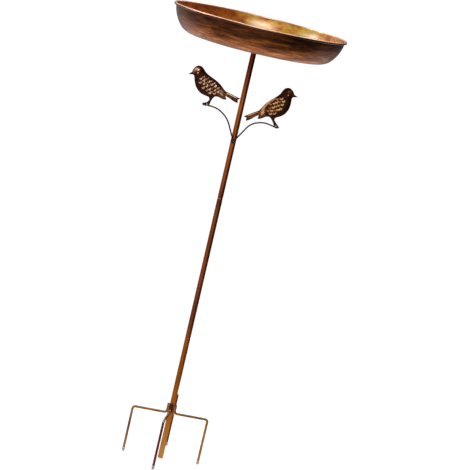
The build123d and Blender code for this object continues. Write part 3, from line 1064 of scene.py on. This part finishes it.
def bird_relief(places, gap, row_deg, painted_head_highlight, painted_back_reflection):
    """Height of the pressed sheet before its edge, and how far it has been rubbed bright, with
    painted highlights on the head and a painted reflection on the back added in.

    The gap is each place's distance from the outline.
    """
    u, v = places[:, 0], places[:, 1]
    torso = eased(gap, 0.0, 9.0) * eased(u, -32.0, -12.0) * eased(v, 14.0, 24.0)
    head = np.clip(1 - ((u - HEAD[0]) ** 2 + (v - HEAD[1]) ** 2) / 200.0, 0, 1)
    height = 2.3 * torso + 1.5 * head * eased(gap, 0.0, 6.0) + 0.35 * eased(gap, 0.0, 1.6)

    feathers, shine = feathered(places, row_deg)
    wing = eased(gap, 2.0, 5.0)
    height += feathers * wing
    burnish = 0.06 + 1.0 * shine * wing

    tail_way = way_at(TAIL_DEG)
    on_tail = eased(u, -27.0, -32.0) * eased(gap, 0.0, 1.0)
    across = (places - TAIL_MIDDLE) @ np.array((-tail_way[1], tail_way[0]))
    ridge = 0.5 + 0.5 * np.cos((across - 2.3) * math.tau / TAIL_RIDGE)
    height += on_tail * (0.7 * ridge)
    burnish += on_tail * (0.95 * ridge**2 * eased(across, -3.2, -0.5) * eased(u, -58.0, -46.0))

    from_eye = np.linalg.norm(places - EYE, axis=1)
    ring = np.exp(-((from_eye - 4.0) / 0.9) ** 2)
    ball = np.clip(1 - (from_eye / 2.1) ** 2, 0, 1)
    height += 0.5 * ring + 0.9 * np.sqrt(ball)
    # painted highlights on the head: the eye's ball, the brow and the cheek are lightened
    brow = soft_spot(places, (38.5, 65.0), (5.2, 3.2))
    cheek = soft_spot(places, (43.0, 59.0), (3.4, 4.0))
    burnish += painted_head_highlight * (0.2 * ring + 1.7 * ball + 1.0 * brow + 0.45 * cheek)
    burnish -= 0.7 * np.exp(-((from_eye - 3.0) / 0.9) ** 2)

    burnish += 0.22 * eased(u, -8.0, -18.0) * eased(u, -34.0, -26.0)
    # painted reflection: a bright strip along the back
    along_back = eased(u, -26.0, -16.0) * eased(u, 14.0, 4.0) * eased(v, 33.0, 38.0)
    burnish += painted_back_reflection * eased(gap, 5.5, 3.0) * along_back
    burnish *= 0.35 + 0.65 * eased(gap, 0.3, 2.2)
    return height, np.clip(burnish, 0, 1)


def bird_mesh(foot_deg, foot_share, row_deg, painted_head_highlight, painted_back_reflection):
    """A pressed sheet bird that faces +X: front and back skins and the cut edge."""
    ring = bird_ring(foot_deg, foot_share)
    low = np.min([tuple(p) for p in ring], axis=0)
    high = np.max([tuple(p) for p in ring], axis=0)
    xs = np.arange(low[0], high[0], GRID)
    ys = np.arange(low[1], high[1], GRID * 0.866)
    grid = np.array([(x + (GRID / 2 if row % 2 else 0), y) for row, y in enumerate(ys) for x in xs])
    grid = grid[inside(grid, ring)]
    grid = grid[edge_distance(grid, ring) > 0.35 * GRID]
    flat = [Vector(p) for p in ring] + [Vector(tuple(p)) for p in grid]
    edges = [(i, (i + 1) % len(ring)) for i in range(len(ring))]
    places, _, faces, *_ = delaunay_2d_cdt(flat, edges, [], 1, 1e-6)
    places = np.array([tuple(p) for p in places])
    gap = edge_distance(places, ring)
    height, burnish = bird_relief(places, gap, row_deg, painted_head_highlight, painted_back_reflection)
    count = len(places)
    front = [(u, -BIRD_SHEET / 2 - h, v) for (u, v), h in zip(places, height)]
    rear = [(u, BIRD_SHEET / 2 - 0.9 * h, v) for (u, v), h in zip(places, height)]
    shell = [tuple(f) for f in faces] + [tuple(i + count for i in reversed(f)) for f in faces]
    sides = dict.fromkeys((a, b) for face in faces for a, b in zip(face, [*face[1:], face[0]]))
    for a, b in sides:
        if (b, a) not in sides:
            shell.append((b, a, a + count, b + count))
    return front + rear, shell, list(burnish) + list(0.25 * burnish)


def make_birds(materials, weld_material):
    for side, (heel, forward, tilt_deg, look) in BIRDS.items():
        points, faces, burnish = bird_mesh(**look)
        turn = Matrix.Rotation(-math.radians(tilt_deg), 3, "Y")
        placed = [turn @ Vector((forward * u, y, v)) + heel for u, y, v in points]
        mesh_piece("bird_sheet_" + side, placed, faces, materials[side], "top_section",
                   "bird_copper", ["bird_" + side], sharp_deg=50, burnish=burnish)
        drops = [
            heel + Vector((forward * 1.5, -1.2, -0.4)),
            heel + Vector((forward * 3.4, -1.3, 0.2)),
            heel + Vector((forward * 3.2, -0.9, 2.2)),
        ]
        weld("foot_tack_" + side, drops, 1.5, "top_section", "bird_tack_" + side, weld_material,
             0.25, heel.x)


# ---------------------------------------------------------------- floor

FLOOR_R = 520.0


def make_floor(material):
    """A pale round floor whose edge rolls down softly."""
    section = [(0.0, -12.0), (0.0, -0.15), (250.0, -0.15), (FLOOR_R, -0.15)]
    section += arc((FLOOR_R, -6.15), 6.0, 90, -90, 6)
    section += [(FLOOR_R, -12.0)]
    points, faces = lathe(section, 96)
    floor = closed_object("floor", points, faces, [material])


# ---------------------------------------------------------------- the scene

make_camera()
make_world()
bpy.context.scene.view_settings.view_transform = "Standard"
soft_light("key_above", -3, 38, 2.6, (1.2, 0.8), 24, COOL_WHITE)
soft_light("side_left", -88, 30, 2.4, (0.5, 0.9), 16, COOL_WHITE)
soft_light("back_above", 180, 50, 2.6, (2.0, 1.0), 24)

copper = pole_finish()
bronze = rod_finish("prong_bronze_finish", (0.16, 0.045, 0.026), (0.38, 0.19, 0.050),
                    (0.34, 0.23, 0.060), tip=PRONG_TIP)
# painted shade: the front and back prongs take this darker copy of the prong bronze, with a bright
# painted highlight as its top colour
shaded_bronze = rod_finish("prong_shaded_bronze_finish", (0.07, 0.012, 0.008), (0.15, 0.036, 0.018),
                    (0.60, 0.36, 0.26), tip=PRONG_TIP)
wire = rod_finish("wire_bronze_finish", (0.030, 0.016, 0.013), (0.085, 0.046, 0.036),
                  (0.10, 0.055, 0.042))
dark_weld = weld_finish("weld_dark_finish", (0.015, 0.007, 0.005), (0.10, 0.045, 0.030))
bronze_weld = weld_finish("weld_bronze_finish", (0.34, 0.14, 0.04), (0.80, 0.46, 0.14))
# burnt weld on the front prong, darkened further by painted shadow under its arm
burnt_and_shaded_weld = weld_finish("weld_burnt_and_shaded_finish", (0.014, 0.005, 0.004), (0.10, 0.030, 0.024))
silver_weld = weld_finish("weld_silver_finish", (0.30, 0.27, 0.26), (0.75, 0.72, 0.72))
steel = steel_finish()
rubber = rubber_finish()
birds = {
    "left": bird_finish("bird_copper_finish", (0.070, 0.024, 0.014), (0.52, 0.18, 0.07),
                        (1.0, 0.66, 0.40)),
    "right": bird_finish("bird_copper_warm_finish", (0.072, 0.022, 0.012), (0.56, 0.18, 0.050),
                         (1.0, 0.60, 0.26)),
}

make_floor(floor_finish())
pole_top = make_pole(copper)
make_dish(dish_inside(), dish_outside(), dish_rim())
make_fixing(pole_top, dark_weld, steel, rubber, copper)
make_prongs(
    {"right": bronze, "back": shaded_bronze, "left": bronze, "front": shaded_bronze},
    {"right": bronze_weld, "back": bronze_weld, "left": bronze_weld, "front": burnt_and_shaded_weld},
)
make_branch(wire, dark_weld)
make_birds(birds, silver_weld)
